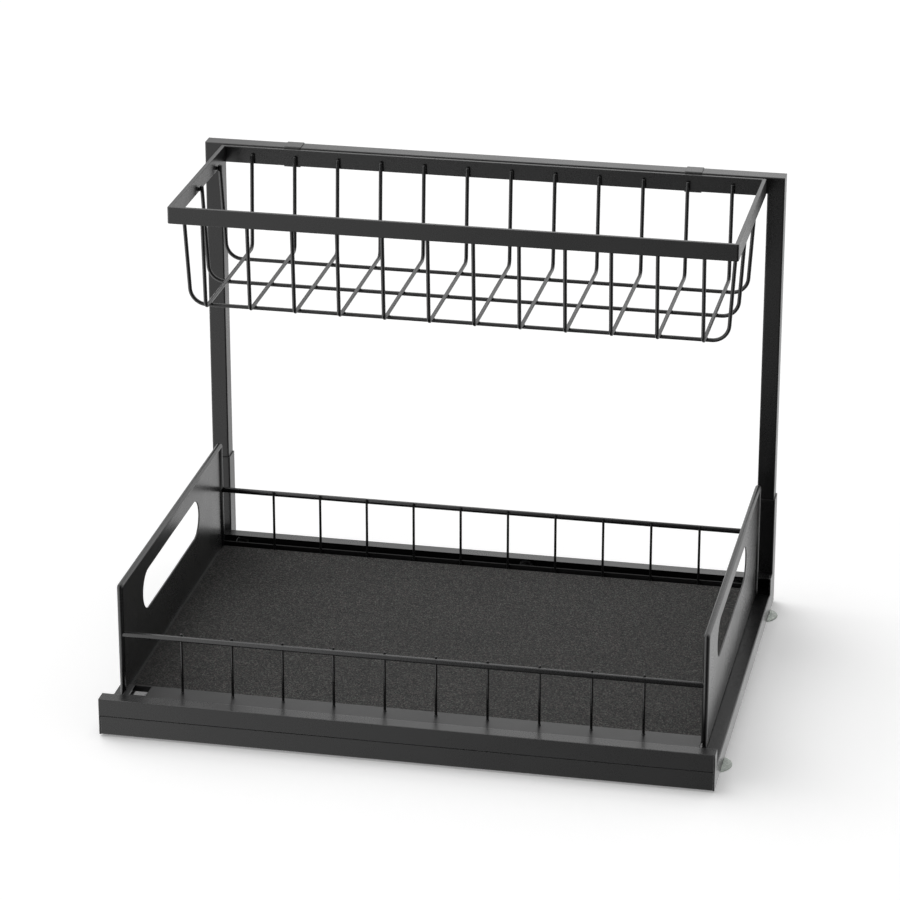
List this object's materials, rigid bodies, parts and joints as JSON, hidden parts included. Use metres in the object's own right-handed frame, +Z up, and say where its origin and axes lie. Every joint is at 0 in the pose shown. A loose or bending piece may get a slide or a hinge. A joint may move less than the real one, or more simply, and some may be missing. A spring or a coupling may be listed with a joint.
{
  "type": "under sink organizer",
  "caption": "Under sink organizer: a pull-out tray on roller rails with handled end panels and wire fences, and a wire basket hooked on an upright frame behind it.",
  "frame": {"origin": "on the ground under the middle of the whole organizer", "axes": "+X along the rails towards the closed rail ends, +Y from the front rail to the upright frame, +Z up"},
  "size_m": [0.4426, 0.3234, 0.3377],
  "materials": {
    "black_powder": "satin black powder coat with a fine orange-peel texture",
    "coated_wire": "satin black powder coat on steel wire",
    "mat_fabric": "matt dark grey mat with a coarse speckled grain",
    "cup_rubber": "clear soft rubber with a greenish tint",
    "zinc_steel": "bright zinc plate",
    "roller_nylon": "off-white nylon"
  },
  "bodies": {
    "base": {"front_base_tube": "black_powder", "rear_base_tube": "black_powder", "left_end_tube": "black_powder", "right_end_tube": "black_powder", "front_slide_channel": "black_powder", "rear_slide_channel": "black_powder", "front_left_end_plate": "black_powder", "front_right_end_plate": "black_powder", "rear_right_end_plate": "black_powder", "left_sleeve": "black_powder", "right_sleeve": "black_powder", "left_post": "black_powder", "right_post": "black_powder", "top_rail": "black_powder", "lock_screws": "zinc_steel", "front_left_cup": "cup_rubber", "front_right_cup": "cup_rubber", "rear_left_cup": "cup_rubber", "rear_right_cup": "cup_rubber"},
    "drawer": {"tray_pan": "black_powder", "anti_slip_mat": "mat_fabric", "front_runner": "black_powder", "rear_runner": "black_powder", "roller_pins": "zinc_steel", "travel_stops": "black_powder", "left_end_panel": "black_powder", "right_end_panel": "black_powder", "front_fence_rod": "coated_wire", "rear_fence_rod": "coated_wire", "front_fence_wires": "coated_wire", "rear_fence_wires": "coated_wire"},
    "basket": {"basket_rim": "black_powder", "left_hook": "black_powder", "right_hook": "black_powder", "front_long_wire": "coated_wire", "middle_long_wire": "coated_wire", "rear_long_wire": "coated_wire", "cross_wire_01": "coated_wire", "cross_wire_02": "coated_wire", "cross_wire_03": "coated_wire", "cross_wire_04": "coated_wire", "cross_wire_05": "coated_wire", "cross_wire_06": "coated_wire", "cross_wire_07": "coated_wire", "cross_wire_08": "coated_wire", "cross_wire_09": "coated_wire", "cross_wire_10": "coated_wire", "cross_wire_11": "coated_wire", "cross_wire_12": "coated_wire"},
    "front_left_roller_body": {"front_left_roller": "roller_nylon"},
    "front_middle_roller_body": {"front_middle_roller": "roller_nylon"},
    "front_right_roller_body": {"front_right_roller": "roller_nylon"},
    "rear_left_roller_body": {"rear_left_roller": "roller_nylon"},
    "rear_middle_roller_body": {"rear_middle_roller": "roller_nylon"},
    "rear_right_roller_body": {"rear_right_roller": "roller_nylon"}
  },
  "joints": [
    {"name": "drawer_slide", "type": "slide", "parent": "base", "child": "drawer", "axis": [-1, 0, 0], "range_m": [0, 0.23]},
    {"name": "basket_lift", "type": "slide", "parent": "base", "child": "basket", "axis": [0, 0, 1], "range_m": [0, 0.06]},
    {"name": "front_left_roll", "type": "hinge", "parent": "drawer", "child": "front_left_roller_body", "pos_m": [-0.19, -0.1566, 0.02153], "axis": [0, 1, 0], "range_deg": [-2640, 5]},
    {"name": "front_middle_roll", "type": "hinge", "parent": "drawer", "child": "front_middle_roller_body", "pos_m": [0.03, -0.1566, 0.02153], "axis": [0, 1, 0], "range_deg": [-2640, 5]},
    {"name": "front_right_roll", "type": "hinge", "parent": "drawer", "child": "front_right_roller_body", "pos_m": [0.19, -0.1566, 0.02153], "axis": [0, 1, 0], "range_deg": [-2640, 5]},
    {"name": "rear_left_roll", "type": "hinge", "parent": "drawer", "child": "rear_left_roller_body", "pos_m": [-0.19, 0.1402, 0.02153], "axis": [0, 1, 0], "range_deg": [-2640, 5]},
    {"name": "rear_middle_roll", "type": "hinge", "parent": "drawer", "child": "rear_middle_roller_body", "pos_m": [0.03, 0.1402, 0.02153], "axis": [0, 1, 0], "range_deg": [-2640, 5]},
    {"name": "rear_right_roll", "type": "hinge", "parent": "drawer", "child": "rear_right_roller_body", "pos_m": [0.19, 0.1402, 0.02153], "axis": [0, 1, 0], "range_deg": [-2640, 5]}
  ],
  "couplings": [
    {"joint": "front_left_roll", "follows": "drawer_slide", "rad_per_m": -200},
    {"joint": "front_middle_roll", "follows": "drawer_slide", "rad_per_m": -200},
    {"joint": "front_right_roll", "follows": "drawer_slide", "rad_per_m": -200},
    {"joint": "rear_left_roll", "follows": "drawer_slide", "rad_per_m": -200},
    {"joint": "rear_middle_roll", "follows": "drawer_slide", "rad_per_m": -200},
    {"joint": "rear_right_roll", "follows": "drawer_slide", "rad_per_m": -200}
  ]
}
